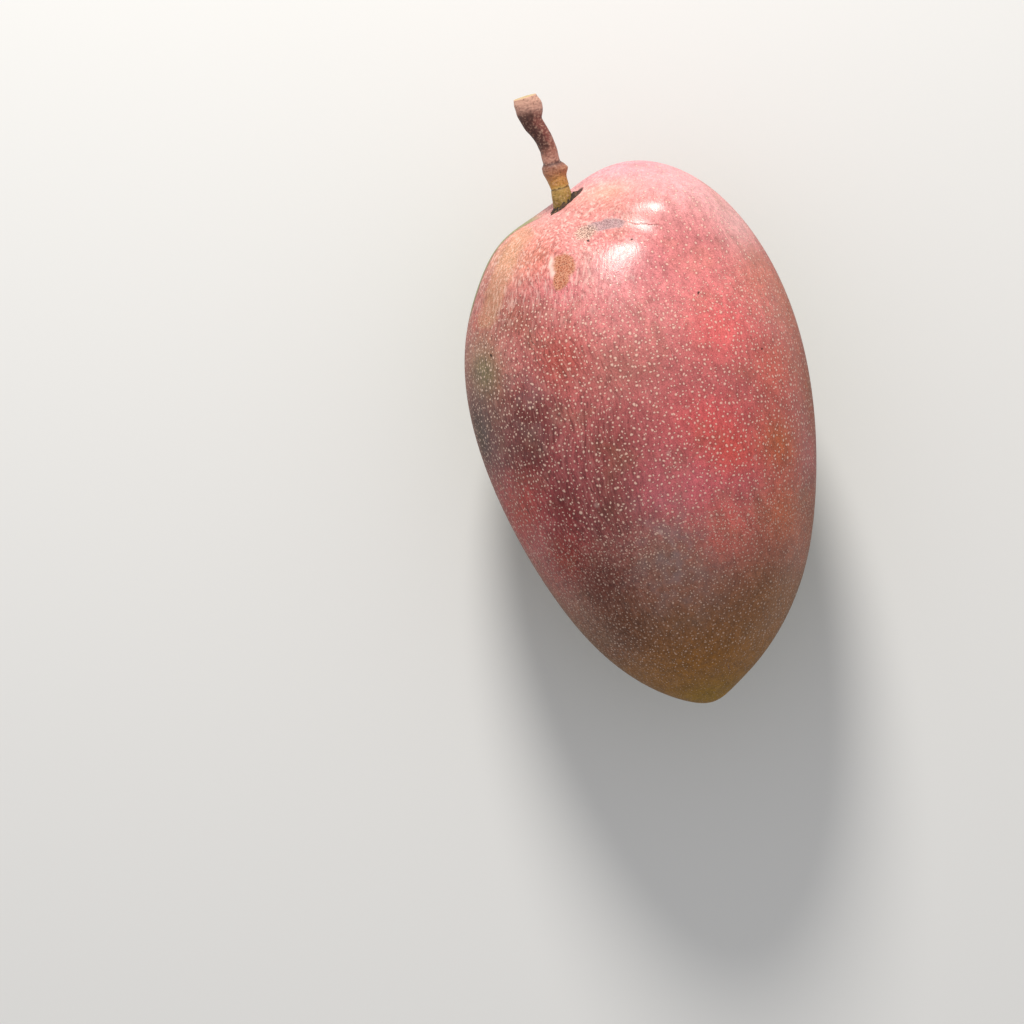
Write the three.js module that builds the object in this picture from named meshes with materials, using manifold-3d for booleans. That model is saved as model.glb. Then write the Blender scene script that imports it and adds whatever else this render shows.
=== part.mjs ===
// A mango lying on its side, picked with a short stalk.
// Millimetres. Z is up, Y runs along the fruit towards its stalk, X across it.
// The origin is the middle of the flat spot on which the fruit rests.
import * as THREE from 'three';
import { mergeVertices } from 'three/addons/utils/BufferGeometryUtils.js';
import Module from 'manifold-3d';

const wasm = await Module();
wasm.setup();

// Body of the fruit, measured from its middle
const HALF_LENGTH = 70.4;
const HALF_WIDTH = 44.2;
const HALF_DEPTH = 39.8;
const MIDDLE_Y = -3.3;
const FULL_END_SHIFT = 13; // carries the widest ring towards the stalk
const END_LOSS = 0.09; // both ends slimmer than an ellipse
const CROWN_LOSS = 0.06; // crown slimmer still, lower half fuller
const TIP_LOSS = 0.22; // narrows the last stretch to the tip
const TIP_LOSS_POWER = 12;
const BELLY_SHIFT = 0.11; // deepest section nearer the tip than the widest one
const LEAN = [-0.7, -1.2, 3.4, 4.3]; // sideways lean of the middle line, by powers of its height
const CUBE_CELLS = 28; // cells along each edge of the cube that is rounded into the fruit

// Flat spot under the fruit
const REST_X = -0.5;
const REST_Y = 2.2;
const REST_DEPTH = 1;

// Swellings and hollows of the skin: middle, direction, height and spread
const LOCAL_FORMS = {
  stalkHollow: { at: [-12.5, 61, 6], out: [-0.25, 0.97, 0.1], height: -3, spread: 7 },
  crown: { at: [9, 66, 6], out: [0.1, 0.95, 0.25], height: 0.6, spread: 8 },
  leftShoulder: { at: [-29, 52, 2], out: [-0.6, 0.75, 0.1], height: 0.9, spread: 7 },
  upperLobe: { at: [16.5, 50.5, 18], out: [0.2, 0.45, 0.85], height: 4, spread: 9.7 },
  lowerRight: { at: [30, -42, 0], out: [0.8, -0.4, 0], height: 0.5, spread: 12 },
  beak: { at: [2, -73.5, 0], out: [0.1, -1, 0], height: 0.9, spread: 4 },
};

// Crease under the upper lobe, on the upper side of the fruit
const CREASE_PATH = [[-8, 51.6], [1.1, 50.8], [7.2, 49.1], [12, 45.8], [18, 39.2]];
const CREASE_OUT = [0.1, 0.5, 0.86];
const CREASE_DEPTH = 1.1;
const CREASE_SPREAD = 2.8;
const CREASE_FADE = 8; // height over which the crease comes in

// Stalk: middle line from its foot, and pairs of distance along it and radius
const STALK_PATH = [
  [-9.9, 57.8, 8.4],
  [-10, 61.2, 8.9],
  [-10.2, 65, 9.5],
  [-10.8, 68.9, 10.2],
  [-11, 74.3, 11.1],
  [-12, 78.2, 11.8],
  [-13.7, 82.1, 12.5],
  [-14.3, 88.2, 13.6],
];
const STALK_PROFILE = [
  [0, 2.7],
  [1.6, 2.8],
  [3.4, 2.7],
  [5.7, 2.42],
  [6, 2.3],
  [6.3, 2.42],
  [8.6, 2.5],
  [10.4, 2.85],
  [11.8, 2.7],
  [12.6, 2.15],
  [13.4, 2.2],
  [16.3, 2.2],
  [20.2, 2.3],
  [24.1, 2.6],
  [26.8, 3.1],
  [29.1, 3.2],
  [30.6, 2.9],
];
const STALK_SIDES = 18;
const STALK_KNOBS = [
  { along: 10.3, height: 0.9, spread: 1.1 },
  { along: 27.4, height: 0.8, spread: 1.9 },
];
const SOCKET_GAP = 0.3;
const SOCKET_RADIUS = 2.8 + SOCKET_GAP;
const SOCKET_LENGTH = 8;

// Bell-shaped fall-off, 1 in the middle
function bell(distance, spread) {
  return Math.exp(-(distance * distance) / (2 * spread * spread));
}

// Distance from (x, y) to a path of straight pieces
function distanceToPath(x, y, path) {
  const point = new THREE.Vector3(x, y, 0);
  const nearest = new THREE.Vector3();
  let best = Infinity;
  for (let i = 1; i < path.length; i += 1) {
    const start = new THREE.Vector3(...path[i - 1], 0);
    const end = new THREE.Vector3(...path[i], 0);
    new THREE.Line3(start, end).closestPointToPoint(point, true, nearest);
    best = Math.min(best, nearest.distanceTo(point));
  }
  return best;
}

// Plain body of the fruit in a direction from its middle
function bodyPoint(direction) {
  const height = direction.y;
  const tipLoss = TIP_LOSS * Math.max(-height, 0) ** TIP_LOSS_POWER;
  const fullness = 1 - END_LOSS * height ** 2 - CROWN_LOSS * height ** 3 - tipLoss;
  const lean = LEAN.reduce((sum, factor, power) => sum + factor * height ** power, 0);
  return new THREE.Vector3(
    lean + HALF_WIDTH * direction.x * fullness,
    MIDDLE_Y + HALF_LENGTH * height + FULL_END_SHIFT * (1 - height ** 2),
    HALF_DEPTH * direction.z * fullness * (1 - BELLY_SHIFT * height),
  );
}

// Body with its swellings, hollows and crease
function skinPoint(direction) {
  const body = bodyPoint(direction);
  const skin = body.clone();
  for (const form of Object.values(LOCAL_FORMS)) {
    const out = new THREE.Vector3(...form.out).normalize();
    const strength = bell(body.distanceTo(new THREE.Vector3(...form.at)), form.spread);
    skin.addScaledVector(out, form.height * strength);
  }
  const crease = bell(distanceToPath(body.x, body.y, CREASE_PATH), CREASE_SPREAD);
  const upper = THREE.MathUtils.clamp(body.z / CREASE_FADE, 0, 1);
  skin.addScaledVector(new THREE.Vector3(...CREASE_OUT), -CREASE_DEPTH * crease * upper);
  return skin;
}

// Geometry with shared corners and no empty triangles
function welded(geometry) {
  geometry.deleteAttribute('normal');
  geometry.deleteAttribute('uv');
  const merged = mergeVertices(geometry, 1e-4);
  const index = merged.index.array;
  const kept = [];
  for (let i = 0; i < index.length; i += 3) {
    const [a, b, c] = [index[i], index[i + 1], index[i + 2]];
    if (a !== b && b !== c && c !== a) kept.push(a, b, c);
  }
  merged.setIndex(kept);
  return merged;
}

// Closed solid for cutting
function solid(geometry) {
  const closed = welded(geometry);
  return new wasm.Manifold(new wasm.Mesh({
    numProp: 3,
    vertProperties: new Float32Array(closed.attributes.position.array),
    triVerts: new Uint32Array(closed.index.array),
  }));
}

// Geometry of a cut solid
function geometryOf(cutSolid) {
  const mesh = cutSolid.getMesh();
  const geometry = new THREE.BufferGeometry();
  geometry.setAttribute('position', new THREE.BufferAttribute(mesh.vertProperties, 3));
  geometry.setIndex(new THREE.BufferAttribute(mesh.triVerts, 1));
  geometry.computeVertexNormals();
  return geometry;
}

// Cube rounded into the skin of the fruit
function skinGeometry() {
  const geometry = new THREE.BoxGeometry(2, 2, 2, CUBE_CELLS, CUBE_CELLS, CUBE_CELLS);
  const position = geometry.attributes.position;
  const direction = new THREE.Vector3();
  const evenAngle = (value) => Math.tan((value * Math.PI) / 4);
  for (let i = 0; i < position.count; i += 1) {
    direction.fromBufferAttribute(position, i);
    direction.set(evenAngle(direction.x), evenAngle(direction.y), evenAngle(direction.z));
    const point = skinPoint(direction.normalize());
    position.setXYZ(i, point.x, point.y, point.z);
  }
  return geometry;
}

// Smooth middle line of the stalk
const stalkLine = new THREE.CatmullRomCurve3(STALK_PATH.map((point) => new THREE.Vector3(...point)));
const stalkLength = STALK_PROFILE[STALK_PROFILE.length - 1][0];

// Turned stalk bent along its middle line, with a knob on its right at each joint
function stalkGeometry() {
  const outline = STALK_PROFILE.map(([along, radius]) => new THREE.Vector2(radius, along));
  const foot = new THREE.Vector2(0, 0);
  const cutEnd = new THREE.Vector2(0, stalkLength);
  const geometry = new THREE.LatheGeometry([foot, ...outline, cutEnd], STALK_SIDES);
  const position = geometry.attributes.position;
  const up = new THREE.Vector3(0, 0, 1);
  for (let i = 0; i < position.count; i += 1) {
    const along = position.getY(i);
    const across = new THREE.Vector2(position.getX(i), position.getZ(i));
    const rightness = across.length() > 0 ? Math.max(across.x / across.length(), 0) : 0;
    for (const knob of STALK_KNOBS) {
      const swelling = knob.height * bell(along - knob.along, knob.spread) * rightness ** 2;
      across.setLength(across.length() + swelling);
    }
    const share = Math.min(along / stalkLength, 1);
    const tangent = stalkLine.getTangentAt(share);
    const right = new THREE.Vector3().crossVectors(tangent, up).normalize();
    const above = new THREE.Vector3().crossVectors(right, tangent);
    const point = stalkLine.getPointAt(share);
    point.addScaledVector(right, across.x).addScaledVector(above, across.y);
    position.setXYZ(i, point.x, point.y, point.z);
  }
  return geometry;
}

// Round socket in the fruit for the foot of the stalk
function socketGeometry() {
  const geometry = new THREE.CylinderGeometry(SOCKET_RADIUS, SOCKET_RADIUS, SOCKET_LENGTH, STALK_SIDES);
  const tangent = stalkLine.getTangentAt(0);
  const yAxis = new THREE.Vector3(0, 1, 0);
  geometry.applyQuaternion(new THREE.Quaternion().setFromUnitVectors(yAxis, tangent));
  const middle = stalkLine.getPointAt(0).addScaledVector(tangent, SOCKET_LENGTH / 2 - SOCKET_GAP);
  return geometry.translate(middle.x, middle.y, middle.z);
}

// Slab that cuts the flat spot
function restSlabGeometry(restZ) {
  const size = 2 * HALF_LENGTH;
  return new THREE.BoxGeometry(size, size, size).translate(0, 0, restZ - size / 2);
}

function namedMesh(name, geometry, colour, roughness) {
  const material = new THREE.MeshStandardMaterial({ color: colour, roughness, metalness: 0 });
  const mesh = new THREE.Mesh(geometry, material);
  mesh.name = name;
  return mesh;
}

const skin = skinGeometry();
skin.computeBoundingBox();
const restZ = skin.boundingBox.min.z + REST_DEPTH;
const fruitSolid = solid(skin).subtract(solid(restSlabGeometry(restZ))).subtract(solid(socketGeometry()));
const fruit = namedMesh('fruit', geometryOf(fruitSolid), 0xa85a55, 0.4);
const stalk = namedMesh('stalk', geometryOf(solid(stalkGeometry())), 0x96714c, 0.7);

const mango = new THREE.Group();
mango.name = 'mango';
for (const mesh of [fruit, stalk]) {
  mesh.geometry.translate(-REST_X, -REST_Y, -restZ);
  mango.add(mesh);
}

export default mango;
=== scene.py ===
"""Looks of a mango lying on its side, seen from above.

Lengths are in millimetres, and those of the stage in metres.
"""

from types import SimpleNamespace

import bpy
import numpy as np
from mathutils import Matrix, Vector


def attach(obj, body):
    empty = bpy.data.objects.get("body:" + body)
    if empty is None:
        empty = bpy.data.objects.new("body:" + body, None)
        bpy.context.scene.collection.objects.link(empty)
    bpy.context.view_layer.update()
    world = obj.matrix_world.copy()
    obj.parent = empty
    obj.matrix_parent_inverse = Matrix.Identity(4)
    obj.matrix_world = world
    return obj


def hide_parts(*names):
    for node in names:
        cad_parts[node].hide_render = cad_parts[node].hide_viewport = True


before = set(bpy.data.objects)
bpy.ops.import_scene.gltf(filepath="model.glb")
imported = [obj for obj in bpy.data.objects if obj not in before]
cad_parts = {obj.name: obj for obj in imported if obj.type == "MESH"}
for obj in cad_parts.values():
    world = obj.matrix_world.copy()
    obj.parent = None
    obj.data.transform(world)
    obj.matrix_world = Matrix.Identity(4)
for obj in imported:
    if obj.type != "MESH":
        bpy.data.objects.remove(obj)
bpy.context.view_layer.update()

MM = 0.001
ANY_HEIGHT = 1000.0  # half size of a mark that takes in every height

# Body of the fruit, measured from its middle: the same form as the solid
HALF_LENGTH = 70.4
HALF_WIDTH = 44.2
HALF_DEPTH = 39.8
MIDDLE_Y = -3.3
FULL_END_SHIFT = 13
END_LOSS = 0.09
CROWN_LOSS = 0.06
TIP_LOSS = 0.22
TIP_LOSS_POWER = 12
BELLY_SHIFT = 0.11
LEAN = (-0.7, -1.2, 3.4, 4.3)
SKIN_CELLS = 72  # cells along each edge of the cube that is rounded into the fruit
MAP_MARGIN = 0.02  # empty border of each cube side on the bake map

# Swellings and hollows: middle, direction, height and spread
LOCAL_FORMS = {
    "stalk_hollow": ((-12.5, 61, 6), (-0.25, 0.97, 0.1), -3, 7),
    "crown": ((9, 66, 6), (0.1, 0.95, 0.25), 0.6, 8),
    "left_shoulder": ((-29, 52, 2), (-0.6, 0.75, 0.1), 0.9, 7),
    "upper_lobe": ((16.5, 50.5, 18), (0.2, 0.45, 0.85), 4, 9.7),
    "lower_right": ((30, -42, 0), (0.8, -0.4, 0), 0.5, 12),
    "beak": ((2, -73.5, 0), (0.1, -1, 0), 0.9, 4),
}
CREASE_PATH = ((-8, 51.6), (1.1, 50.8), (7.2, 49.1), (12, 45.8), (18, 39.2))
CREASE_OUT = (0.1, 0.5, 0.86)
CREASE_DEPTH = 1.1
CREASE_SPREAD = 2.8
CREASE_FADE = 8

# From the middle of the fruit to the origin, on the surface it rests on
REST_SHIFT = np.array((0.5, -2.2, 38.995))

# Stalk: middle line from its foot, and pairs of distance along it and radius
STALK_PATH = (
    (-9.9, 57.8, 8.4),
    (-10, 61.2, 8.9),
    (-10.2, 65, 9.5),
    (-10.8, 68.9, 10.2),
    (-11, 74.3, 11.1),
    (-12, 78.2, 11.8),
    (-13.7, 82.1, 12.5),
    (-14.3, 88.2, 13.6),
)
STALK_PROFILE = (
    (0, 2.7),
    (1.6, 2.8),
    (3.4, 2.7),
    (5.7, 2.42),
    (6, 2.3),
    (6.3, 2.42),
    (8.6, 2.5),
    (10.4, 2.85),
    (11.8, 2.7),
    (12.6, 2.15),
    (13.4, 2.2),
    (16.3, 2.2),
    (20.2, 2.3),
    (24.1, 2.6),
    (26.8, 3.1),
    (29.1, 3.2),
    (30.6, 2.9),
)
STALK_LENGTH = STALK_PROFILE[-1][0]
# Place along the stalk, height and spread of each knob
STALK_KNOBS = ((10.3, 0.9, 1.1), (27.4, 0.8, 1.9))
STALK_SIDES = 36
STALK_RINGS = 150
# Shares of the radius
STALK_RIDGE = 0.03
STALK_LUMP = 0.025


def bell(distance, spread):
    return np.exp(-(distance**2) / (2 * spread**2))


def smooth(value, start, end):
    """Rises smoothly from 0 at start to 1 at end."""
    share = np.clip((value - start) / (end - start), 0, 1)
    return share * share * (3 - 2 * share)


def linear(hex_colour):
    """Linear colour of an sRGB hex text."""
    values = np.array([int(hex_colour[i : i + 2], 16) / 255 for i in (0, 2, 4)])
    return np.where(values <= 0.04045, values / 12.92, ((values + 0.055) / 1.055) ** 2.4)


def rgba(hex_colour):
    return (*linear(hex_colour), 1)


def distance_to_path(x, y, path):
    best = np.full(x.shape, np.inf)
    for (x0, y0), (x1, y1) in zip(path[:-1], path[1:]):
        run_x, run_y = x1 - x0, y1 - y0
        share = np.clip(((x - x0) * run_x + (y - y0) * run_y) / (run_x**2 + run_y**2), 0, 1)
        best = np.minimum(best, np.hypot(x - x0 - share * run_x, y - y0 - share * run_y))
    return best


# Shape of the fruit


def fullness(height):
    tip_loss = TIP_LOSS * np.clip(-height, 0, 1) ** TIP_LOSS_POWER
    return 1 - END_LOSS * height**2 - CROWN_LOSS * height**3 - tip_loss


def lean(height):
    return sum(factor * height**power for power, factor in enumerate(LEAN))


def body_points(directions):
    """Plain body of the fruit in directions from its middle."""
    dx, dy, dz = directions.T
    x = lean(dy) + HALF_WIDTH * dx * fullness(dy)
    y = MIDDLE_Y + HALF_LENGTH * dy + FULL_END_SHIFT * (1 - dy**2)
    z = HALF_DEPTH * dz * fullness(dy) * (1 - BELLY_SHIFT * dy)
    return np.stack([x, y, z], axis=1)


def skin_points(directions):
    """Body with its swellings, hollows and crease, cut off flat underneath."""
    body = body_points(directions)
    skin = body.copy()
    for middle, out, height, spread in LOCAL_FORMS.values():
        unit = np.array(out) / np.linalg.norm(out)
        strength = bell(np.linalg.norm(body - np.array(middle), axis=1), spread)
        skin += height * strength[:, None] * unit
    crease = bell(distance_to_path(body[:, 0], body[:, 1], CREASE_PATH), CREASE_SPREAD)
    crease *= np.clip(body[:, 2] / CREASE_FADE, 0, 1)
    skin -= CREASE_DEPTH * crease[:, None] * np.array(CREASE_OUT)
    skin[:, 2] = np.maximum(skin[:, 2], -REST_SHIFT[2])
    return skin


def cube_sphere(cells):
    """Directions, quads and bake map of a cube rounded into a ball."""
    steps = np.tan(np.linspace(-1, 1, cells + 1) * np.pi / 4)
    first, second = np.meshgrid(steps, steps, indexing="ij")
    even = np.linspace(MAP_MARGIN, 1 - MAP_MARGIN, cells + 1)
    u_even, v_even = np.meshgrid(even, even, indexing="ij")
    row, column = np.meshgrid(np.arange(cells), np.arange(cells), indexing="ij")
    corner = (row * (cells + 1) + column).ravel()
    quad = np.stack([corner, corner + cells + 1, corner + cells + 2, corner + 1], axis=1)
    directions, quads, maps = [], [], []
    for axis in range(3):
        for side, sign in enumerate((-1, 1)):
            patch = np.zeros((cells + 1, cells + 1, 3))
            patch[..., axis] = sign
            patch[..., (axis + 1) % 3] = first
            patch[..., (axis + 2) % 3] = second
            directions.append(patch.reshape(-1, 3))
            faces = quad if sign > 0 else quad[:, ::-1]
            quads.append(faces + len(quads) * (cells + 1) ** 2)
            across, along = (v_even, u_even) if axis == 0 else (u_even, v_even)
            flipped = (sign > 0) == (axis == 0)
            across = 1 - across if flipped else across
            maps.append(np.stack([(axis + across) / 3, (side + along) / 2], -1).reshape(-1, 2))
    directions = np.concatenate(directions)
    directions /= np.linalg.norm(directions, axis=1)[:, None]
    quads = np.concatenate(quads)
    corner_map = np.concatenate(maps)[quads.ravel()]
    _, kept, shared = np.unique(directions.round(6), axis=0, return_index=True, return_inverse=True)
    return directions[kept], shared.ravel()[quads], corner_map


def add_mesh(name, points, faces):
    """Smooth mesh object from points measured from the fruit's middle."""
    mesh = bpy.data.meshes.new(name)
    mesh.from_pydata(((points + REST_SHIFT) * MM).tolist(), [], [list(map(int, f)) for f in faces])
    mesh.polygons.foreach_set("use_smooth", [True] * len(mesh.polygons))
    mesh.update()
    piece = bpy.data.objects.new(name, mesh)
    bpy.context.scene.collection.objects.link(piece)
    return piece


def add_colours(piece, name, colours):
    """Stores one linear colour, or three masks, at each point."""
    layer = piece.data.attributes.new(name, "FLOAT_COLOR", "POINT")
    full = np.concatenate([colours, np.ones((len(colours), 1))], axis=1)
    layer.data.foreach_set("color", full.ravel().astype(np.float32))


# Node helpers

MIX_FACTOR, MIX_A, MIX_B, MIX_RESULT = 0, 6, 7, 2


def new_material(name):
    material = bpy.data.materials.new(name)
    material.use_nodes = True
    return material, material.node_tree, material.node_tree.nodes["Principled BSDF"]


def add_node(tree, kind, inputs=None, **settings):
    """New node with its settings, and its inputs set or linked."""
    node = tree.nodes.new(kind)
    for name, value in settings.items():
        setattr(node, name, value)
    for name, value in (inputs or {}).items():
        if isinstance(value, bpy.types.NodeSocket):
            tree.links.new(value, node.inputs[name])
        else:
            node.inputs[name].default_value = value
    return node


def mix(tree, factor, a, b, blend="MIX"):
    inputs = {MIX_FACTOR: factor, MIX_A: a, MIX_B: b}
    return add_node(tree, "ShaderNodeMix", inputs, data_type="RGBA", blend_type=blend).outputs[MIX_RESULT]


def math(tree, operation, a, b):
    return add_node(tree, "ShaderNodeMath", {0: a, 1: b}, operation=operation).outputs[0]


def times(tree, a, b):
    return math(tree, "MULTIPLY", a, b)


def ramp(tree, value, start, end, low=0.0, high=1.0):
    """Smooth change from low to high while value goes from start to end."""
    inputs = {"Value": value, "From Min": start, "From Max": end, "To Min": low, "To Max": high}
    return add_node(tree, "ShaderNodeMapRange", inputs, interpolation_type="SMOOTHSTEP").outputs["Result"]


def scaled(tree, value, factor, offset):
    inputs = {0: value, 1: factor, 2: offset}
    return add_node(tree, "ShaderNodeMath", inputs, operation="MULTIPLY_ADD").outputs[0]


def vector_math(tree, operation, a, b):
    return add_node(tree, "ShaderNodeVectorMath", {0: a, 1: b}, operation=operation).outputs["Vector"]


def stretched(tree, coordinates, scale):
    return vector_math(tree, "MULTIPLY", coordinates, scale)


def millimetres(tree):
    """Position on the piece in millimetres from the origin."""
    position = add_node(tree, "ShaderNodeTexCoord").outputs["Object"]
    return stretched(tree, position, (1 / MM,) * 3)


def noise(tree, coordinates, size, detail=2.0):
    """Cloudy pattern whose clouds are about size millimetres wide."""
    inputs = {"Vector": coordinates, "Scale": 1 / size, "Detail": detail}
    return add_node(tree, "ShaderNodeTexNoise", inputs).outputs["Fac"]


def masks(tree, name):
    """The three masks stored under a name."""
    attribute = add_node(tree, "ShaderNodeAttribute", attribute_name=name)
    parts = add_node(tree, "ShaderNodeSeparateColor", {"Color": attribute.outputs["Color"]})
    return parts.outputs["Red"], parts.outputs["Green"], parts.outputs["Blue"]


def greatest(tree, values):
    """Greatest of several values."""
    result = values[0]
    for value in values[1:]:
        result = math(tree, "MAXIMUM", result, value)
    return result


def weighted_sum(tree, parts):
    """Sum of values times their weights."""
    result = times(tree, *parts[0])
    for value, weight in parts[1:]:
        result = math(tree, "ADD", result, times(tree, value, weight))
    return result


def cover(tree, colour, mask, name):
    """Colour under a named cover, which takes its full share where the mask is 1."""
    cover_colour, share = COVERS[name]
    return mix(tree, times(tree, mask, share), colour, rgba(cover_colour))


def finish(tree, shader, colour, roughness, relief, strength, depth):
    """Links colour, roughness and relief to the shader."""
    bump = add_node(tree, "ShaderNodeBump", {"Height": relief, "Strength": strength, "Distance": depth * MM})
    tree.links.new(colour, shader.inputs["Base Color"])
    tree.links.new(roughness, shader.inputs["Roughness"])
    tree.links.new(bump.outputs["Normal"], shader.inputs["Normal"])


# What covers the plain tones: colour and greatest share
COVERS = {
    "olive_cloud": ("84603c", 0.2),
    "dark_fibre": ("3c1f1c", 0.45),
    "pale_fibre": ("e8c4b4", 0.14),
    "pale_streak": ("f6d6ca", 0.5),
    # Faint dark rims round the dots: painted shadow of their rise
    "dot_painted_shade": ("3c1c18", 0.16),
    "russet": ("dcb08c", 0.28),
    "russet_speck": ("7e5c34", 0.62),
    "far_green": ("7c8a5c", 0.85),
    # Painted shade along the ridge of the left shoulder
    "ridge_painted_shade": ("54423a", 0.7),
    "patch_edge": ("f8dcd0", 0.6),
    "patch_net": ("d89e7e", 0.6),
    # Dark scratches, and painted shade along the crease
    "scratch": ("45231f", 0.6),
    "scab": ("d8beb2", 0.25),
    "speck": ("22130e", 0.9),
    # Painted shade and painted light on the two sides of the stalk
    "stalk_painted_shade": ("42201a", 0.85),
    "stalk_painted_light": ("c99c8c", 0.6),
    "stalk_fleck": ("d9b49c", 0.35),
    "stalk_pit": ("3a2018", 0.5),
    "crust_grit": ("94704f", 0.7),
}

# Colours and masks of the skin

# Colour along the fruit, by distance from its middle towards the stalk: partly the skin's own colour, partly
# painted light and shade, lighter towards the stalk end and darker towards the tip
TONES_AND_SHADING_ALONG = (
    (-74, "865b08"),
    (-62, "885612"),
    (-50, "865739"),
    (-34, "9c5d53"),
    (-20, "b85d66"),
    (-3, "b35a5d"),
    (10, "b26060"),
    (26, "cc7a7a"),
    (40, "c57276"),
    (55, "d58782"),
    (68, "d595a1"),
)
# Patches on the upper side: middle, half sizes, colour and strength
TONE_PATCHES = {
    "lilac_crown": ((24, 57), (12, 9), "e2a6ab", 0.7),
    "orange_crown": ((0, 60), (8, 3), "f0a688", 0.5),
    "lilac_right_shoulder": ((33, 45), (7, 9), "e4b2b0", 0.7),
    "peach_shoulder": ((-27, 49), (8, 7), "ce967a", 0.8),
    "coral_shoulder": ((-20, 47), (6, 6), "d07060", 0.6),
    "pale_column": ((-8.5, 44), (3, 8), "db9d96", 0.5),
    "rose_upper_right": ((22, 35), (10, 10), "e18281", 0.7),
    "coral_right": ((35, 30), (7, 9), "c66e59", 0.7),
    "red_right": ((22, 19), (9, 9), "e26565", 0.8),
    "warm_right_rim": ((42, 22), (5, 14), "b46449", 0.8),
    # Patches down the left side: partly the skin's own colour, partly painted shade that darkens that side,
    # darkest along its rim; the warm patch lower down is partly painted light reflected onto it
    "coral_left": ((-28, 32), (7, 8), "824735", 0.7),
    "tan_left": ((-33, 40), (5, 7), "92533d", 0.7),
    "brown_left": ((-20, 20), (9, 9), "a24236", 0.8),
    "red_left_rim": ((-38, 33), (3, 5), "a85040", 0.7),
    "tan_left_rim": ((-39, 21), (5, 9), "626737", 0.85),
    "mauve_left": ((-31, 7), (8, 9), "591d18", 0.85),
    "maroon_left": ((-33, -3), (8, 7), "4f1010", 0.85),
    "olive_left_rim_painted_shade": ((-44, 6), (6, 13), "211707", 0.95),
    "warm_left_painted_reflection": ((-37, -16), (6, 10), "a7290f", 0.9),
    "coral_middle": ((-6, 15), (7, 7), "9f6157", 0.6),
    "brown_middle": ((-12, -5), (8, 9), "7c3a36", 0.75),
    # Patches low on the left: partly the skin's own colour, partly painted shade that darkens that side
    "maroon_low": ((-26, -17), (6, 9), "651212", 0.85),
    "brown_low": ((-15, -20), (8, 10), "652f25", 0.8),
    "red_middle": ((14, -3), (9, 7), "d15657", 0.8),
    "red_low_right": ((18, -12), (8, 7), "d05046", 0.8),
    "warm_right": ((34, 6), (7, 9), "ca604e", 0.7),
    "brown_right_rim": ((43, -4), (5, 16), "964718", 0.85),
    "orange_right": ((31, -13), (6, 9), "b85b2c", 0.8),
    "mauve_centre": ((4, -20), (7, 7), "c65d68", 0.7),
    "grey_low": ((-3, -35), (9, 9), "825e50", 0.75),
    "rose_low": ((13, -30), (8, 8), "ce6056", 0.7),
    "brown_low_right": ((29, -30), (7, 9), "c9693e", 0.7),
    "brown_low_rim": ((37, -32), (5, 12), "884113", 0.8),
    # Patches low on the left: partly the skin's own colour, partly painted shade that darkens that side
    "red_low_left": ((-29, -30), (6, 8), "941b0d", 0.85),
    "dark_low_left": ((-20, -38), (8, 9), "571d0f", 0.8),
    "olive_low_left": ((-20, -52), (9, 8), "5d2c0a", 0.8),
    "tan_low_right": ((22, -52), (8, 8), "865322", 0.6),
    "yellow_tip": ((1, -75), (11, 5), "8a6c04", 0.95),
}
# Darker olive round the rims: partly the skin's own colour, partly painted shade on the sides that turn away
# from the light
RIM_TONE_AND_SHADE = "54401e"
UNDER_TONE = "69702f"
UNDER_BLUSH = "8c5a34"
# Heights over which each of these comes in
UPPER_TONES = (-6, 10)
UPPER_MARKS = (-6, 6)
RIM_FADE = (12, -4)
UNDER_FADE = (0, -20)
# Stretches along the fruit: crown with less green, and tip with no rim tone
CROWN_START = (25, 55)
RIM_TIP_FADE = (-76, -58)
BLUSH_WAVES = (13, 19)

# Stretches over which the kinds of dots come in or fade, along the fruit and across it
SMALL_DOTS_START = (-18, -32)
SMALL_DOTS_TIP = (-70, -56)
SPARSE_DOTS_START = (14, 40)
MIDDLING_LOW_END = (-24, -44)
MIDDLING_HIGH_END = (24, 42)
UPPER_LEFT_START = (20, 30)
UPPER_LEFT_END = (44, 30)
LEFT_SIDE = (-6, -24)
# Skin without dots beside the stalk
BARE_MIDDLE = (-8, 58)
BARE_SPREAD = 11

# Grey bloom: middle and half sizes
LOW_BLOOM = ((-2, -35), (11, 15))
LEFT_BLOOM = ((-30, 10), (7, 14))
# Stretches over which streaks and fibres come in
STREAKS_ALONG = (22, 48)
STREAKS_ACROSS = (14, -6)
FIBRES_ACROSS = (4, -20)

# Marks on the upper side, measured from the fruit's middle
RUSSET_PATH = ((-21.6, 54.2), (-26.3, 49.5), (-30, 44), (-33.3, 38.4), (-35.4, 34))
RUSSET_SPREAD = 2.0
FAR_SHOULDER_PATH = ((-36, 42), (-30, 50), (-23, 55))
FAR_SHOULDER_FADE = (9, 4)
FAR_SHOULDER_HEIGHT = 5.0
# Line of painted shade along the ridge of that shoulder: how far it reaches below and above, and how softly the
# green begins
RIDGE_BELOW = 0.4
RIDGE_ABOVE = 0.7
GREEN_SOFTNESS = 0.8
# Middle, half sizes and turn in degrees
PATCH_TOP = ((-13.6, 43), (3.4, 3.7), 0)
PATCH_FOOT = ((-15.1, 39.7), (2.4, 3.3), -30)
PATCH_EDGE = ((-16.6, 43.2), (1.3, 4.4), -12)
SCAR = ((-1.0, 51.1), (5.8, 1.7), -3)
SCAR_END = ((-6.4, 50.2), (4.0, 2.4), 10)
# Painted shade along the crease below the upper lobe
CREASE_SHADE_LINE = ((8.5, 49.2), (7, 0.35), -18)
CRACK = ((-6.0, 61.6), (2.4, 0.6), 33)
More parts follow.
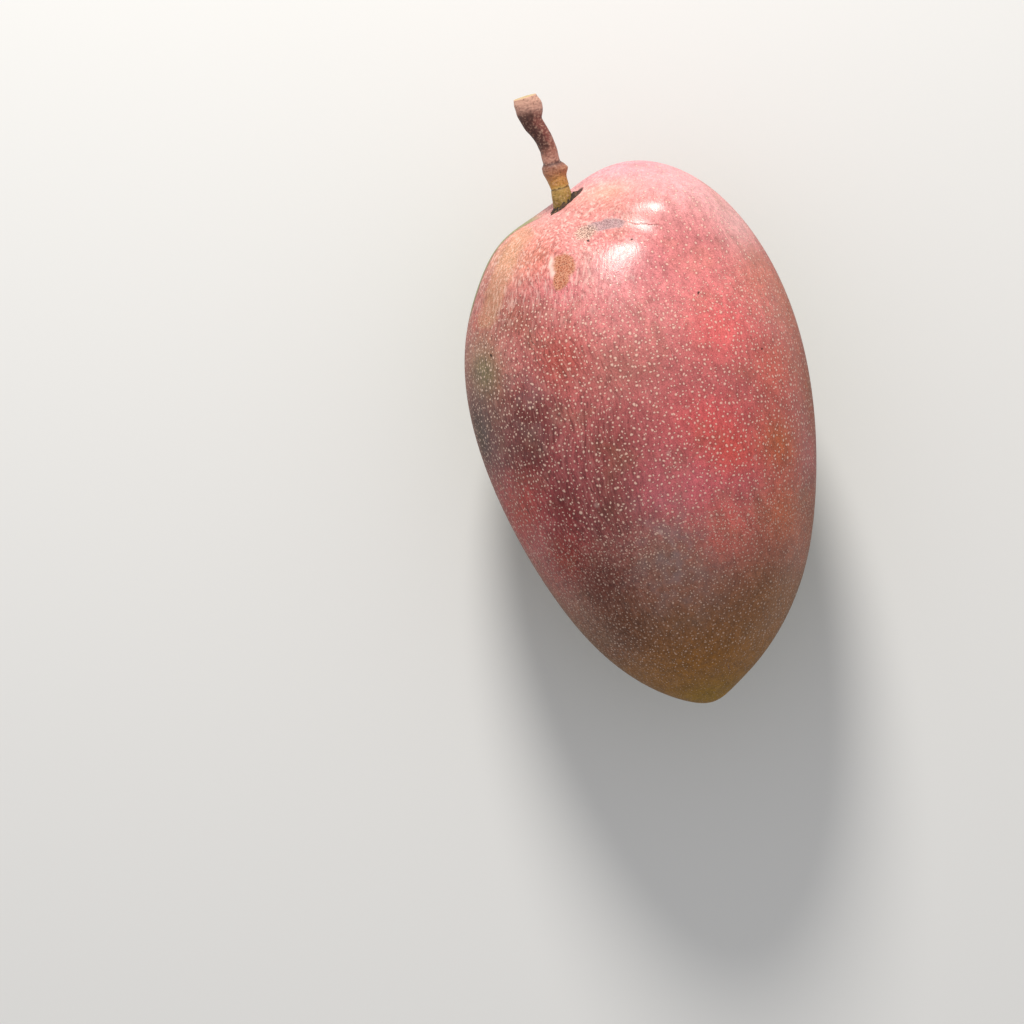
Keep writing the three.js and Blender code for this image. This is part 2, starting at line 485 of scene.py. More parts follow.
# Start and end of each dark scratch
SCRATCHES = (
    ((-26.7, 29.1), (-24.7, 15.6)),
    ((-24.8, 16.5), (-20.7, -1.8)),
    ((-19.5, -11.9), (-17.7, -16.9)),
    ((7.4, 17.3), (9, 11.5)),
    ((-26.2, 34.5), (-24.7, 20.2)),
    ((-23.8, 31.8), (-22.9, 16.9)),
    ((-39.5, 19.2), (-37.8, 6.2)),
    ((-17.7, -42.3), (-13.9, -46.2)),
    ((5.9, -64.3), (7.4, -67.5)),
    ((7.6, -64.6), (9, -67.2)),
)
SCRATCH_HALF_WIDTH = 0.16
# Middle and radius of each dark speck and of each pale scab
SPECKS = (
    ((18, 28.8), 0.5),
    ((-36.5, 24.8), 0.5),
    ((-6.3, 48.1), 0.4),
    ((4.3, 45.7), 0.4),
    ((31, 12), 0.3),
)
SCABS = (
    ((-18.2, -18.1), 1.0),
    ((23.4, -14.5), 0.9),
    ((2, -9), 0.8),
    ((9, 1), 0.7),
    ((-4, -28), 0.9),
)


def ellipse_bell(points, middle, half_sizes):
    x = (points[:, 0] - middle[0]) / half_sizes[0]
    y = (points[:, 1] - middle[1]) / half_sizes[1]
    return np.exp(-(x**2) - y**2)


def skin_tones(points):
    """Plain skin colour at each point, partly painted light and shade: along the fruit, in patches, darker round
    the rims, and greener underneath.
    """
    x, y, z = points.T
    stops = [at for at, _ in TONES_AND_SHADING_ALONG]
    tones = np.array([linear(colour) for _, colour in TONES_AND_SHADING_ALONG])
    colours = np.stack([np.interp(y, stops, tones[:, i]) for i in range(3)], axis=1)
    upper = smooth(z, *UPPER_TONES)
    for middle, half_sizes, colour, strength in TONE_PATCHES.values():
        share = (strength * upper * ellipse_bell(points, middle, half_sizes))[:, None]
        colours = colours * (1 - share) + linear(colour) * share
    crown = smooth(y, *CROWN_START)
    blush = 0.5 + 0.5 * np.sin(x / BLUSH_WAVES[0] + 1) * np.sin(y / BLUSH_WAVES[1])
    fades = (
        (RIM_TONE_AND_SHADE, RIM_FADE, 0.8 * (1 - 0.8 * crown) * smooth(y, *RIM_TIP_FADE)),
        (UNDER_TONE, UNDER_FADE, 0.9 * (1 - 0.5 * crown)),
        (UNDER_BLUSH, UNDER_FADE, 0.5 * blush),
    )
    for colour, fade, strength in fades:
        share = (strength * smooth(z, *fade))[:, None]
        colours = colours * (1 - share) + linear(colour) * share
    return colours


def mark_masks(points):
    """Russet band, the far side of the left shoulder, and the upper side."""
    x, y, z = points.T
    upper = smooth(z, *UPPER_MARKS)
    russet = bell(distance_to_path(x, y, RUSSET_PATH), RUSSET_SPREAD) * upper
    far = smooth(distance_to_path(x, y, FAR_SHOULDER_PATH), *FAR_SHOULDER_FADE)
    return np.stack([russet, far, upper], axis=1)


def dot_masks(points):
    """Where the pale dots are middling, small, or sparse."""
    x, y, _ = points.T
    left = smooth(x, *LEFT_SIDE)
    small = smooth(y, *SMALL_DOTS_START) * (0.45 + 0.55 * smooth(y, *SMALL_DOTS_TIP))
    sparse = smooth(y, *SPARSE_DOTS_START) * (1 - left)
    upper_left = left * smooth(y, *UPPER_LEFT_START) * smooth(y, *UPPER_LEFT_END)
    between = (1 - smooth(y, *MIDDLING_LOW_END)) * (1 - smooth(y, *MIDDLING_HIGH_END))
    bare = bell(np.hypot(x - BARE_MIDDLE[0], y - BARE_MIDDLE[1]), BARE_SPREAD)
    kinds = (between + 0.8 * upper_left, 0.9 * small, sparse * (1 - bare))
    return np.clip(np.stack(kinds, axis=1), 0, 1)


def film_masks(points):
    """Grey bloom, fine streaks and fibres along the fruit."""
    x, y, z = points.T
    low = ellipse_bell(points, *LOW_BLOOM)
    left = 0.5 * ellipse_bell(points, *LEFT_BLOOM)
    bloom = smooth(z, *UPPER_TONES) * (low + left)
    streaks = 0.06 + 0.94 * smooth(y, *STREAKS_ALONG) * smooth(x, *STREAKS_ACROSS)
    fibres = 0.3 + 0.7 * smooth(x, *FIBRES_ACROSS)
    return np.clip(np.stack([bloom, streaks, fibres], axis=1), 0, 1)


# Material of the skin

# Widths of the clouds and lines in its patterns
BROAD_CLOUDS = 8.0
BLOOM_CLOUDS = 4.0
PATCHY_CLOUDS = 2.4
FINE_CLOUDS = 0.8
GRAIN_CLOUDS = 0.32
SPECKLE_CLOUDS = 0.3
FIBRE_WIDTH = 0.5
STREAK_WIDTH = 0.7
NET_CELL = 0.8
NET_LINE = 0.12
# Scales that draw a pattern out along the fruit
SLIGHTLY_LONG = (1.0, 0.6, 1.0)
FIBRE_LONG = (1.0, 0.12, 1.0)
STREAK_LONG = (1.0, 0.09, 1.0)
# Bends of the coordinates: size of the clouds that bend them, and how far
WAVY = (20.0, 9.0)
CROOKED = (2.0, 1.2)
# Spacing and radius of the middling, small and sparse dots
DOT_SIZES = ((1.5, 0.38), (1.3, 0.34), (2.0, 0.38))
DOT_RANDOMNESS = 0.85
DOT_SIZE_RANGE = (0.55, 1.15)
DOT_COLOUR = "f4d2be"
DOT_STRENGTH = 0.66
SMALL_DOT_STRENGTH = 0.46
BLOOM_COLOUR = "86767a"
BLOOM_RANGE = (0.05, 0.5)
# Two colours of each speckled mark
PATCH_COLOURS = ("a65c3c", "5c2f1a")
PATCH_STRENGTH = 0.92
SCAR_COLOURS = ("7c6468", "b99a9c")
SCAR_STRENGTH = 0.85
SCAR_END_COLOURS = ("6a5248", "e6c4b0")
SCAR_END_STRENGTH = 0.8
# Finish: waxy, duller on marks and low on the sides
WAX_ROUGHNESS = (0.22, 0.31)
MARK_ROUGHNESS = 0.35
DULL_ROUGHNESS = 0.35
DULL_START = 24
DULL_END = 6
SKIN_SPECULAR = 0.32
SKIN_BUMP = 0.24
SKIN_BUMP_DEPTH = 0.14


def dots(tree, coordinates, spacing, radius, mask):
    """Soft round spots of uneven size, gone where the mask is 0, and a rim of painted shadow round each."""
    inputs = {"Vector": coordinates, "Scale": 1 / spacing, "Randomness": DOT_RANDOMNESS}
    cells = add_node(tree, "ShaderNodeTexVoronoi", inputs)
    offset = vector_math(tree, "SUBTRACT", coordinates, cells.outputs["Position"])
    normal = add_node(tree, "ShaderNodeNewGeometry").outputs["Normal"]
    across = vector_math(tree, "SUBTRACT", offset, vector_math(tree, "PROJECT", offset, normal))
    distance = add_node(tree, "ShaderNodeVectorMath", {0: across}, operation="LENGTH").outputs["Value"]
    size = math(tree, "MULTIPLY", ramp(tree, cells.outputs["Color"], 0.1, 0.9, *DOT_SIZE_RANGE), mask)
    reach = math(tree, "DIVIDE", distance, math(tree, "MAXIMUM", size, 0.001))
    return ramp(tree, reach, radius, 0.3 * radius), ramp(tree, reach, 1.7 * radius, radius)


def net_lines(tree, coordinates, size, width):
    """Lines between cells about size millimetres wide."""
    inputs = {"Vector": coordinates, "Scale": 1 / size}
    edges = add_node(tree, "ShaderNodeTexVoronoi", inputs, feature="DISTANCE_TO_EDGE").outputs["Distance"]
    return ramp(tree, edges, width / size, 0.25 * width / size)


def ragged(tree, mask, pattern, amount, start, end):
    """Mask with an uneven edge."""
    uneven = math(tree, "MULTIPLY", math(tree, "SUBTRACT", pattern, 0.5), amount)
    return ramp(tree, math(tree, "ADD", mask, uneven), start, end)


def blot(tree, coordinates, middle, half_sizes, turn=0.0, softness=0.3):
    """Oval mark on the skin, 1 inside and 0 outside."""
    inputs = {
        "Vector": coordinates,
        "Location": (middle[0] + REST_SHIFT[0], middle[1] + REST_SHIFT[1], 0),
        "Rotation": (0, 0, np.radians(turn)),
        "Scale": (*half_sizes, ANY_HEIGHT),
    }
    local = add_node(tree, "ShaderNodeMapping", inputs, vector_type="TEXTURE").outputs["Vector"]
    radius = add_node(tree, "ShaderNodeVectorMath", {0: local}, operation="LENGTH").outputs["Value"]
    return ramp(tree, radius, 1.0, 1.0 - softness)


def scratch(tree, coordinates, start, end):
    """Thin straight mark that tapers at both ends."""
    run = np.array(end) - np.array(start)
    middle = (np.array(start) + np.array(end)) / 2
    half_sizes = (np.linalg.norm(run) / 2, SCRATCH_HALF_WIDTH)
    return blot(tree, coordinates, middle, half_sizes, np.degrees(np.arctan2(run[1], run[0])), 0.8)


def shifted(tree, coordinates, size, amount):
    """Coordinates bent by noise whose clouds are about size millimetres wide."""
    inputs = {"Vector": coordinates, "Scale": 1 / size, "Detail": 1.0}
    bend = add_node(tree, "ShaderNodeTexNoise", inputs).outputs["Color"]
    bend = vector_math(tree, "SUBTRACT", bend, (0.5, 0.5, 0.5))
    return vector_math(tree, "ADD", coordinates, stretched(tree, bend, (amount, amount, amount)))


def shade(tree, colour, pattern, amount):
    """Colour made lighter and darker by a pattern around one half."""
    return mix(tree, 1.0, colour, scaled(tree, pattern, amount, 1 - amount / 2), "MULTIPLY")


def skin_patterns(tree):
    """Coordinates and cloudy patterns shared by the parts of the skin's material."""
    position = millimetres(tree)
    wavy = shifted(tree, position, *WAVY)
    return SimpleNamespace(
        position=position,
        crooked=shifted(tree, position, *CROOKED),
        broad=noise(tree, position, BROAD_CLOUDS, 3.0),
        patchy=noise(tree, stretched(tree, wavy, SLIGHTLY_LONG), PATCHY_CLOUDS, 3.0),
        fine=noise(tree, stretched(tree, position, SLIGHTLY_LONG), FINE_CLOUDS),
        grain=noise(tree, position, GRAIN_CLOUDS, 1.0),
        speckle=noise(tree, position, SPECKLE_CLOUDS),
        fibre=noise(tree, stretched(tree, wavy, FIBRE_LONG), FIBRE_WIDTH),
        streak=noise(tree, stretched(tree, wavy, STREAK_LONG), STREAK_WIDTH),
    )


def mottled(tree, patterns, tone, fibres):
    """Tone with broad clouds, finer mottling and fibres."""
    colour = cover(tree, tone, ramp(tree, patterns.broad, 0.5, 0.72), "olive_cloud")
    for pattern, amount in ((patterns.patchy, 0.9), (patterns.fine, 0.6), (patterns.grain, 1.1)):
        colour = shade(tree, colour, pattern, amount)
    dark = times(tree, ramp(tree, patterns.fibre, 0.5, 0.3), fibres)
    colour = cover(tree, colour, dark, "dark_fibre")
    pale = times(tree, ramp(tree, patterns.fibre, 0.52, 0.72), fibres)
    return cover(tree, colour, pale, "pale_fibre")


def filmed(tree, patterns, colour, streaks, bloom):
    """Colour under pale streaks near the stalk, and under grey bloom."""
    pale = times(tree, ramp(tree, patterns.streak, 0.48, 0.7), streaks)
    colour = cover(tree, colour, pale, "pale_streak")
    clouds = ramp(tree, noise(tree, patterns.position, BLOOM_CLOUDS, 4.0), 0.38, 0.66, *BLOOM_RANGE)
    return mix(tree, times(tree, clouds, bloom), colour, rgba(BLOOM_COLOUR))


def dotted(tree, patterns, colour, kinds):
    """Colour with pale dots and faint rims of painted shadow round them, and the mask of the dots."""
    layers = [dots(tree, patterns.crooked, *sizes, kind) for sizes, kind in zip(DOT_SIZES, kinds)]
    spot = greatest(tree, [layer[0] for layer in layers])
    rim = greatest(tree, [layer[1] for layer in layers])
    colour = cover(tree, colour, rim, "dot_painted_shade")
    _, small, _ = kinds
    strength = scaled(tree, small, SMALL_DOT_STRENGTH - DOT_STRENGTH, DOT_STRENGTH)
    return mix(tree, times(tree, spot, strength), colour, rgba(DOT_COLOUR)), spot


def russeted(tree, patterns, colour, russet):
    """Colour with the russet band and its specks, and the mask of the band."""
    band = ragged(tree, russet, patterns.patchy, 0.9, 0.3, 0.8)
    colour = cover(tree, colour, band, "russet")
    specks = times(tree, ramp(tree, patterns.speckle, 0.52, 0.62), band)
    return cover(tree, colour, specks, "russet_speck"), band


def shouldered(tree, height, colour, far):
    """Colour with the green far side of the left shoulder, behind a line of painted shade along its ridge."""
    ridge = REST_SHIFT[2] + FAR_SHOULDER_HEIGHT
    behind = times(tree, ramp(tree, height, ridge, ridge - GREEN_SOFTNESS), far)
    colour = cover(tree, colour, behind, "far_green")
    below = ramp(tree, height, ridge - RIDGE_BELOW, ridge)
    above = ramp(tree, height, ridge + RIDGE_ABOVE, ridge)
    return cover(tree, colour, times(tree, times(tree, below, above), far), "ridge_painted_shade")


def patched(tree, patterns, colour, upper):
    """Colour with the netted patch and its pale edge, and the masks of the patch and of its net."""
    net = net_lines(tree, patterns.crooked, NET_CELL, NET_LINE)
    halves = [blot(tree, patterns.crooked, *half) for half in (PATCH_TOP, PATCH_FOOT)]
    patch = times(tree, greatest(tree, halves), upper)
    edge = times(tree, blot(tree, patterns.crooked, *PATCH_EDGE, softness=0.7), upper)
    colour = cover(tree, colour, edge, "patch_edge")
    ground = mix(tree, ramp(tree, patterns.speckle, 0.52, 0.64), *map(rgba, PATCH_COLOURS))
    ground = cover(tree, ground, net, "patch_net")
    return mix(tree, times(tree, patch, PATCH_STRENGTH), colour, ground), patch, net


def scarred(tree, patterns, colour, upper):
    """Colour with the grey scar and its speckled end, and their mask."""
    scar = times(tree, blot(tree, patterns.crooked, *SCAR), upper)
    scar_colour = mix(tree, ramp(tree, patterns.speckle, 0.4, 0.6), *map(rgba, SCAR_COLOURS))
    colour = mix(tree, times(tree, scar, SCAR_STRENGTH), colour, scar_colour)
    end = times(tree, blot(tree, patterns.crooked, *SCAR_END, softness=0.6), upper)
    end_colour = mix(tree, ramp(tree, patterns.speckle, 0.46, 0.56), *map(rgba, SCAR_END_COLOURS))
    colour = mix(tree, times(tree, end, SCAR_END_STRENGTH), colour, end_colour)
    return colour, greatest(tree, [scar, end])


def scratched(tree, patterns, colour, upper):
    """Colour with scratches, painted shade along the crease, scabs, specks and the crack beside the stalk, and
    the masks of lines and specks.
    """
    place = patterns.crooked
    lines = [scratch(tree, place, start, end) for start, end in SCRATCHES]
    # Painted shade along the crease, in the scratches' dark colour
    lines.append(blot(tree, place, *CREASE_SHADE_LINE, softness=0.9))
    lines = times(tree, greatest(tree, lines), upper)
    colour = cover(tree, colour, lines, "scratch")
    scabs = [blot(tree, place, middle, (radius, radius), softness=0.7) for middle, radius in SCABS]
    colour = cover(tree, colour, times(tree, greatest(tree, scabs), upper), "scab")
    specks = [blot(tree, place, middle, (radius, radius), softness=0.5) for middle, radius in SPECKS]
    specks.append(blot(tree, place, *CRACK))
    specks = times(tree, greatest(tree, specks), upper)
    return cover(tree, colour, specks, "speck"), lines, specks


def skin_roughness(tree, patterns, height, marks):
    """Waxy, and duller on the marks and low on the sides."""
    waxy = ramp(tree, patterns.fine, 0.3, 0.7, *WAX_ROUGHNESS)
    start, end = REST_SHIFT[2] + DULL_START, REST_SHIFT[2] + DULL_END
    low_down = ramp(tree, height, start, end, 0.0, DULL_ROUGHNESS)
    return math(tree, "ADD", math(tree, "ADD", waxy, times(tree, marks, MARK_ROUGHNESS)), low_down)


def skin_material():
    material, tree, shader = new_material("mango_skin")
    patterns = skin_patterns(tree)
    height = add_node(tree, "ShaderNodeSeparateXYZ", {"Vector": patterns.crooked}).outputs["Z"]
    # Plain skin colour, partly painted light and shade
    tone = add_node(tree, "ShaderNodeAttribute", attribute_name="tone").outputs["Color"]
    russet, far, upper = masks(tree, "marks")
    bloom, streaks, fibres = masks(tree, "films")
    colour = mottled(tree, patterns, tone, fibres)
    colour = filmed(tree, patterns, colour, streaks, bloom)
    colour, spot = dotted(tree, patterns, colour, masks(tree, "dots"))
    colour, band = russeted(tree, patterns, colour, russet)
    colour = shouldered(tree, height, colour, far)
    colour, patch, net = patched(tree, patterns, colour, upper)
    colour, scars = scarred(tree, patterns, colour, upper)
    colour, lines, specks = scratched(tree, patterns, colour, upper)
    roughness = skin_roughness(tree, patterns, height, greatest(tree, [patch, scars, band, specks]))
    raised = (
        (spot, 0.5),
        (patterns.grain, 0.4),
        (patterns.fibre, 0.7),
        (patterns.fine, 0.6),
        (times(tree, net, patch), 1.5),
    )
    relief = math(tree, "SUBTRACT", weighted_sum(tree, raised), math(tree, "ADD", lines, specks))
    shader.inputs["Specular IOR Level"].default_value = SKIN_SPECULAR
    finish(tree, shader, colour, roughness, relief, SKIN_BUMP, SKIN_BUMP_DEPTH)
    return material


def build_skin():
    directions, quads, corner_map = cube_sphere(SKIN_CELLS)
    points = skin_points(directions)
    skin = add_mesh("mango_skin", points, quads)
    bake_map = skin.data.uv_layers.new(name="OFBake")
    bake_map.data.foreach_set("uv", corner_map.ravel())
    add_colours(skin, "tone", skin_tones(points))
    add_colours(skin, "marks", mark_masks(points))
    add_colours(skin, "dots", dot_masks(points))
    add_colours(skin, "films", film_masks(points))
    skin.data.materials.append(skin_material())
    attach(skin, "root")
    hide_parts("fruit")


# Stalk


def stalk_line(count):
    """Evenly spaced points on the smooth middle line of the stalk."""
    path = np.array(STALK_PATH, float)
    ends = np.concatenate([[2 * path[0] - path[1]], path, [2 * path[-1] - path[-2]]])
    share = np.linspace(0, 1, 40, endpoint=False)[:, None]
    spans = []
    for a, b, c, d in zip(ends[:-3], ends[1:-2], ends[2:-1], ends[3:]):
        cubic = (3 * (b - c) + d - a) * share**3 + (2 * a - 5 * b + 4 * c - d) * share**2
        spans.append(b + (cubic + (c - a) * share) / 2)
    curve = np.concatenate([*spans, path[-1:]])
    run = np.concatenate([[0], np.linalg.norm(np.diff(curve, axis=0), axis=1).cumsum()])
    even = np.linspace(0, run[-1], count)
    return np.stack([np.interp(even, run, curve[:, i]) for i in range(3)], axis=1)


def stalk_frames(count):
    """Points, and the directions right and above, along the stalk."""
    line = stalk_line(count)
    tangents = np.gradient(line, axis=0)
    tangents /= np.linalg.norm(tangents, axis=1)[:, None]
    right = np.cross(tangents, (0, 0, 1))
    right /= np.linalg.norm(right, axis=1)[:, None]
    return line, right, np.cross(right, tangents)


def stalk_radii(along, angles):
    """Radius of the stalk, with its knobs, lengthwise ridges and small lumps."""
    radii = np.interp(along, *np.array(STALK_PROFILE).T)[:, None]
    rightness = np.clip(np.cos(angles), 0, 1)[None, :] ** 2
    for middle, height, spread in STALK_KNOBS:
        radii = radii + height * bell(along - middle, spread)[:, None] * rightness
    ridges = STALK_RIDGE * np.sin(5 * angles[None, :] + 0.25 * along[:, None])
    lumps = np.sin(3 * angles[None, :] - 1.1 * along[:, None]) * np.sin(0.9 * along[:, None])
    return radii * (1 + ridges + STALK_LUMP * lumps)


def ring_faces(rings, sides):
    """Quads between rings, and a fan at each end around one more point each."""
    faces = []
    for ring in range(rings - 1):
        for side in range(sides):
            after = (side + 1) % sides
            here, above = ring * sides, (ring + 1) * sides
            faces.append((here + side, here + after, above + after, above + side))
    first, last = rings * sides, rings * sides + 1
    top = (rings - 1) * sides
    for side in range(sides):
        after = (side + 1) % sides
        faces.append((first, after, side))
        faces.append((last, top + side, top + after))
    return faces


# Colour along the stalk, by share of its length
STALK_TONES = (
    (0.0, "6e5418"),
    (0.1, "94783a"),
    (0.183, "ac8a48"),
    (0.194, "5a4520"),
    (0.202, "d0b064"),
    (0.22, "b8873e"),
    (0.28, "c08a4c"),
    (0.33, "a8704f"),
    (0.38, "94604e"),
    (0.408, "4a2420"),
    (0.43, "b88474"),
    (0.52, "a06858"),
    (0.62, "7a4038"),
    (0.8, "7c463c"),
    (0.9, "c09080"),
    (1.0, "cc9c88"),
)


STALK_PATCHY_CLOUDS = 2.4
STALK_FINE_CLOUDS = 0.6
STALK_GRAIN_WIDTH = 0.5
STALK_GRAIN_LONG = (1.0, 0.2, 1.0)
CUT_COLOURS = ("8d6c40", "d8c294")
STALK_ROUGHNESS = (0.5, 0.75)
STALK_BUMP = 0.6
STALK_BUMP_DEPTH = 0.3


def tones_along_stalk(tree, along, fine):
    """Colour by place along the stalk, with uneven borders."""
    uneven = times(tree, math(tree, "SUBTRACT", fine, 0.5), 0.02)
    tones = add_node(tree, "ShaderNodeValToRGB", {"Fac": math(tree, "ADD", along, uneven)})
    stops = tones.color_ramp.elements
    for place, _ in STALK_TONES[2:]:
        stops.new(place)
    for stop, (place, colour) in zip(stops, STALK_TONES):
        stop.position = place
        stop.color = rgba(colour)
    return tones.outputs["Color"]


def stalk_material():
    material, tree, shader = new_material("stalk_bark")
    position = millimetres(tree)
    along, cut, rightness = masks(tree, "along")
    patchy = noise(tree, position, STALK_PATCHY_CLOUDS, 3.0)
    fine = noise(tree, position, STALK_FINE_CLOUDS, 3.0)
    colour = tones_along_stalk(tree, along, fine)
    upper = times(tree, ramp(tree, along, 0.46, 0.58), ramp(tree, along, 0.93, 0.84))
    # Painted shade down the left side of the stalk's upper half, and painted light down its right side
    lit_side = math(tree, "ADD", rightness, math(tree, "SUBTRACT", patchy, 0.5))
    colour = cover(tree, colour, times(tree, ramp(tree, lit_side, 0.8, 0.45), upper), "stalk_painted_shade")
    colour = cover(tree, colour, times(tree, ramp(tree, lit_side, 0.85, 1.05), upper), "stalk_painted_light")
    colour = cover(tree, colour, ramp(tree, fine, 0.5, 0.72), "stalk_fleck")
    colour = cover(tree, colour, ramp(tree, fine, 0.48, 0.3), "stalk_pit")
    grain = noise(tree, stretched(tree, position, STALK_GRAIN_LONG), STALK_GRAIN_WIDTH, 3.0)
    colour = mix(tree, cut, colour, mix(tree, grain, *map(rgba, CUT_COLOURS)))
    roughness = ramp(tree, fine, 0.3, 0.7, *STALK_ROUGHNESS)
    relief = math(tree, "ADD", fine, times(tree, patchy, 0.8))
    finish(tree, shader, colour, roughness, relief, STALK_BUMP, STALK_BUMP_DEPTH)
    return material


# Rings of the cut end: share of the radius, and rise
CUT_RINGS = ((0.97, 0.0), (0.75, 0.05), (0.3, -0.05))


def build_stalk():
    line, right, above = stalk_frames(STALK_RINGS)
    along = np.linspace(0, STALK_LENGTH, STALK_RINGS)
    angles = np.linspace(0, 2 * np.pi, STALK_SIDES, endpoint=False)
    radii = stalk_radii(along, angles)
    around = np.cos(angles)[:, None] * right[:, None] + np.sin(angles)[:, None] * above[:, None]
    rings = list(line[:, None] + radii[..., None] * around)
    end = np.cross(above[-1], right[-1])
    for share, rise in CUT_RINGS:
        rings.append(line[-1] + rise * end + share * radii[-1][:, None] * around[-1])
    points = np.concatenate([*rings, line[:1], line[-1:]])
    stalk = add_mesh("mango_stalk", points, ring_faces(len(rings), STALK_SIDES))
    shares = np.repeat(np.concatenate([along / STALK_LENGTH, np.ones(len(CUT_RINGS))]), STALK_SIDES)
    shares = np.concatenate([shares, (0, 1)])
    is_cut = np.zeros(len(points))
    is_cut[STALK_RINGS * STALK_SIDES : -2] = 1
    is_cut[-1] = 1
    # How far round to the right each point lies, which places the painted light and shade
    rightness = np.tile((1 + np.cos(angles)) / 2, len(rings))
    rightness = np.concatenate([rightness, (0.5, 0.5)])
    add_colours(stalk, "along", np.stack([shares, is_cut, rightness], axis=1))
    stalk.data.materials.append(stalk_material())
    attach(stalk, "root")
    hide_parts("stalk")


# Dark crust round the foot of the stalk

CRUST_SIDES = 72
CRUST_INNER = 2.2
# Corners of its section: distance from the stalk's middle line, and height above the skin
CRUST_SECTION = (
    (CRUST_INNER, -0.9),
    (2.5, 0.6),
    (2.9, 0.8),
    (3.4, 0.5),
    (4.0, 0.15),
    (4.5, -0.5),
    (3.6, -1.3),
)
# Waves of its outer edge and of its top: height, count around the stalk, and start
CRUST_EDGE_WAVES = ((0.22, 3, 1), (0.14, 7, 2), (0.1, 13, 0))
CRUST_TOP_WAVES = ((0.3, 5, 0), (0.25, 11, 2), (0.2, 17, 1))
# Skin that it lies on: distance from the stalk's middle line, and depth below its foot
CRUST_REACH = 10
CRUST_DEPTH = 12
HEIGHT_SOFTENING = 0.1
CRUST_PATCHY_CLOUDS = 1.6
CRUST_FINE_CLOUDS = 0.5
CRUST_COLOURS = ("1a100c", "3e291c")
CRUST_ROUGHNESS = (0.75, 0.95)
CRUST_BUMP = 0.9
CRUST_BUMP_DEPTH = 0.4


def waves(angles, parts):
    """Uneven factor around 1 along a ring."""
    return 1 + sum(height * np.sin(count * angles + start) for height, count, start in parts)


def skin_near_stalk(foot, right, above, outward):
    """Skin points around the stalk's foot, in the stalk's own directions."""
    directions, _, _ = cube_sphere(SKIN_CELLS)
    skin = skin_points(directions) - foot
    local = np.stack([skin @ right, skin @ above, skin @ outward], axis=1)
    near = np.hypot(local[:, 0], local[:, 1]) < CRUST_REACH
    return local[near & (local[:, 2] > -CRUST_DEPTH)]


def heights_near_stalk(across, along, skin):
    """Height of the skin in the stalk's direction, from the skin points around each place."""
    apart = np.hypot(across[:, None] - skin[None, :, 0], along[:, None] - skin[None, :, 1])
    weights = 1 / (apart**2 + HEIGHT_SOFTENING) ** 2
    return (weights * skin[None, :, 2]).sum(axis=1) / weights.sum(axis=1)


def crust_rings():
    """Points round the stalk's foot, a ring for each corner of the section."""
    line, rights, aboves = stalk_frames(STALK_RINGS)
    foot, right, above = line[0], rights[0], aboves[0]
    outward = np.cross(above, right)
    skin = skin_near_stalk(foot, right, above, outward)
    angles = np.linspace(0, 2 * np.pi, CRUST_SIDES, endpoint=False)
    rings = []
    for radius, lift in CRUST_SECTION:
        reach = CRUST_INNER + (radius - CRUST_INNER) * waves(angles, CRUST_EDGE_WAVES)
        rise = lift * waves(angles, CRUST_TOP_WAVES) if lift > 0 else lift
        across, along = reach * np.cos(angles), reach * np.sin(angles)
        height = heights_near_stalk(across, along, skin) + rise
        rings.append(foot + across[:, None] * right + along[:, None] * above + height[:, None] * outward)
    return rings


def closed_ring_faces(rings, sides):
    """Quads between rings of which the last meets the first again."""
    faces = []
    for ring in range(rings):
        here, there = ring * sides, (ring + 1) % rings * sides
        for side in range(sides):
            after = (side + 1) % sides
            faces.append((here + side, there + side, there + after, here + after))
    return faces


def crust_material():
    material, tree, shader = new_material("stalk_crust")
    position = millimetres(tree)
    fine = noise(tree, position, CRUST_FINE_CLOUDS, 3.0)
    patchy = noise(tree, position, CRUST_PATCHY_CLOUDS)
    colour = mix(tree, ramp(tree, patchy, 0.4, 0.65), *map(rgba, CRUST_COLOURS))
    colour = cover(tree, colour, ramp(tree, fine, 0.54, 0.68), "crust_grit")
    roughness = ramp(tree, fine, 0.3, 0.7, *CRUST_ROUGHNESS)
    finish(tree, shader, colour, roughness, fine, CRUST_BUMP, CRUST_BUMP_DEPTH)
    return material


def build_crust():
    rings = crust_rings()
    crust = add_mesh("stalk_crust", np.concatenate(rings), closed_ring_faces(len(rings), CRUST_SIDES))
    crust.data.materials.append(crust_material())
    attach(crust, "root")


build_skin()
build_stalk()
build_crust()

# Stage: floor, light and camera, in metres

FLOOR_SIZE = 6.0
FLOOR_GREY = (0.76, 0.76, 0.76, 1)
FLOOR_ROUGHNESS = 0.9
KEY_TARGET = (0, 0, 0.04)
KEY_DIRECTION = (0.02, 0.85, 0.53)
KEY_DISTANCE = 0.9
KEY_SIZE = 0.24
KEY_POWER = 8.5
LIGHT_COLOUR = (1, 0.965, 0.9)
ROOM_COLOUR = (1, 1, 1, 1)
ROOM_STRENGTH = 0.52
# Size of a photo pixel on the fruit, width of the picture and place of the fruit in it, in pixels
PIXEL = 0.26 * MM
PICTURE = 1024
FRUIT_IN_PICTURE = (648.4, 422.7)
TILT = np.radians(12)
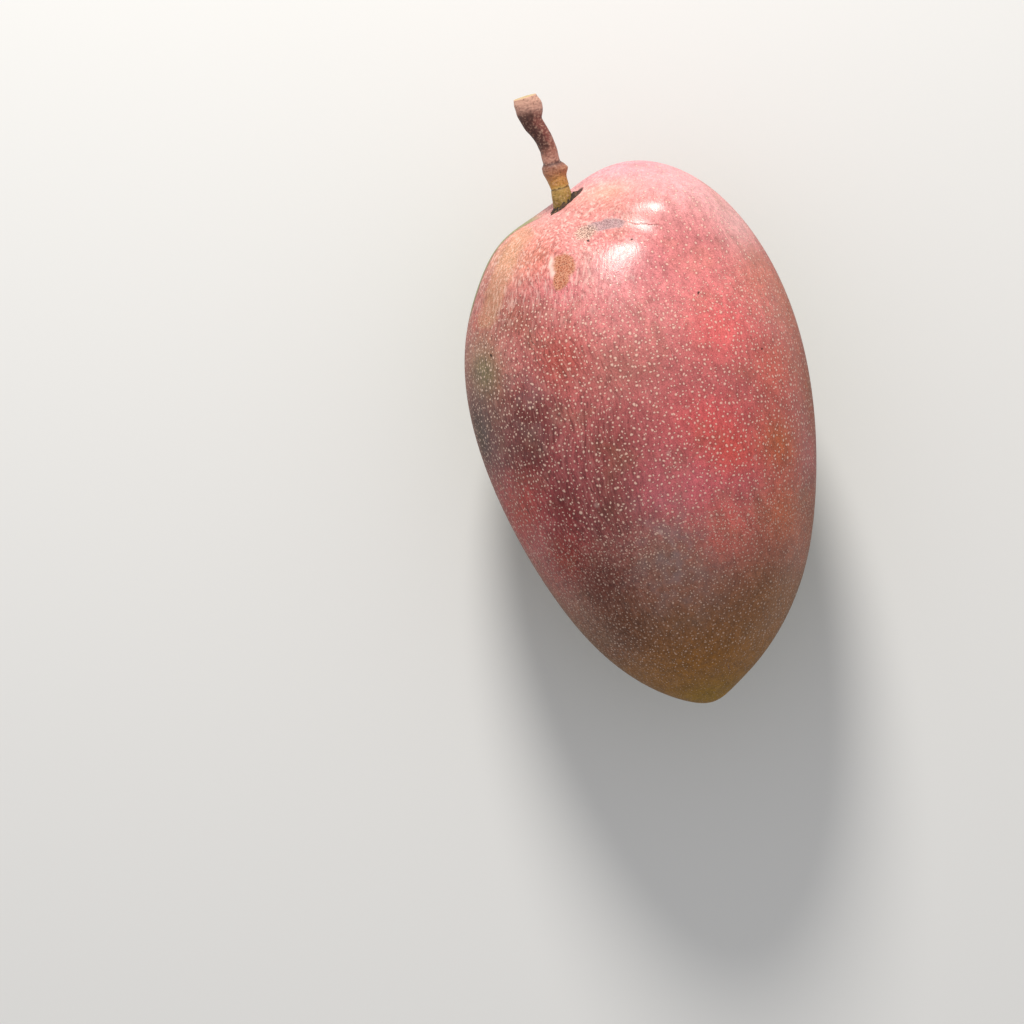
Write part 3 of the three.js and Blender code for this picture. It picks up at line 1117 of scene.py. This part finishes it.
# Focal length and sensor width, in millimetres
LENS = 150
SENSOR = 36


def build_floor():
    bpy.ops.mesh.primitive_plane_add(size=FLOOR_SIZE)
    floor = bpy.context.object
    floor.name = "floor"
    material, _, shader = new_material("floor")
    shader.inputs["Base Color"].default_value = FLOOR_GREY
    shader.inputs["Roughness"].default_value = FLOOR_ROUGHNESS
    floor.data.materials.append(material)


def add_area_light(name, position, target, size, power):
    light = bpy.data.lights.new(name, "AREA")
    light.shape = "DISK"
    light.size = size
    light.energy = power
    light.color = LIGHT_COLOUR
    lamp = bpy.data.objects.new(name, light)
    lamp.location = position
    lamp.rotation_euler = (Vector(target) - Vector(position)).to_track_quat("-Z", "Y").to_euler()
    bpy.context.scene.collection.objects.link(lamp)


def build_light():
    target = Vector(KEY_TARGET)
    add_area_light("key", target + Vector(KEY_DIRECTION) * KEY_DISTANCE, target, KEY_SIZE, KEY_POWER)
    world = bpy.data.worlds.new("soft_room")
    world.use_nodes = True
    background = world.node_tree.nodes["Background"]
    background.inputs["Color"].default_value = ROOM_COLOUR
    background.inputs["Strength"].default_value = ROOM_STRENGTH
    bpy.context.scene.world = world
    bpy.context.scene.view_settings.view_transform = "Standard"


def build_camera():
    right = Vector((np.cos(TILT), -np.sin(TILT), 0))
    up = Vector((np.sin(TILT), np.cos(TILT), 0))
    fruit = Vector(REST_SHIFT * MM)
    across = (FRUIT_IN_PICTURE[0] - PICTURE / 2) * PIXEL
    above = (PICTURE / 2 - FRUIT_IN_PICTURE[1]) * PIXEL
    camera = bpy.data.cameras.new("camera")
    camera.lens = LENS
    camera.sensor_width = SENSOR
    view = bpy.data.objects.new("camera", camera)
    distance = PICTURE * PIXEL * LENS / SENSOR
    place = fruit - right * across - up * above + Vector((0, 0, distance))
    axes = Matrix((right, up, Vector((0, 0, 1)))).transposed()
    view.matrix_world = Matrix.Translation(place) @ axes.to_4x4()
    bpy.context.scene.collection.objects.link(view)
    bpy.context.scene.camera = view


build_floor()
build_light()
build_camera()
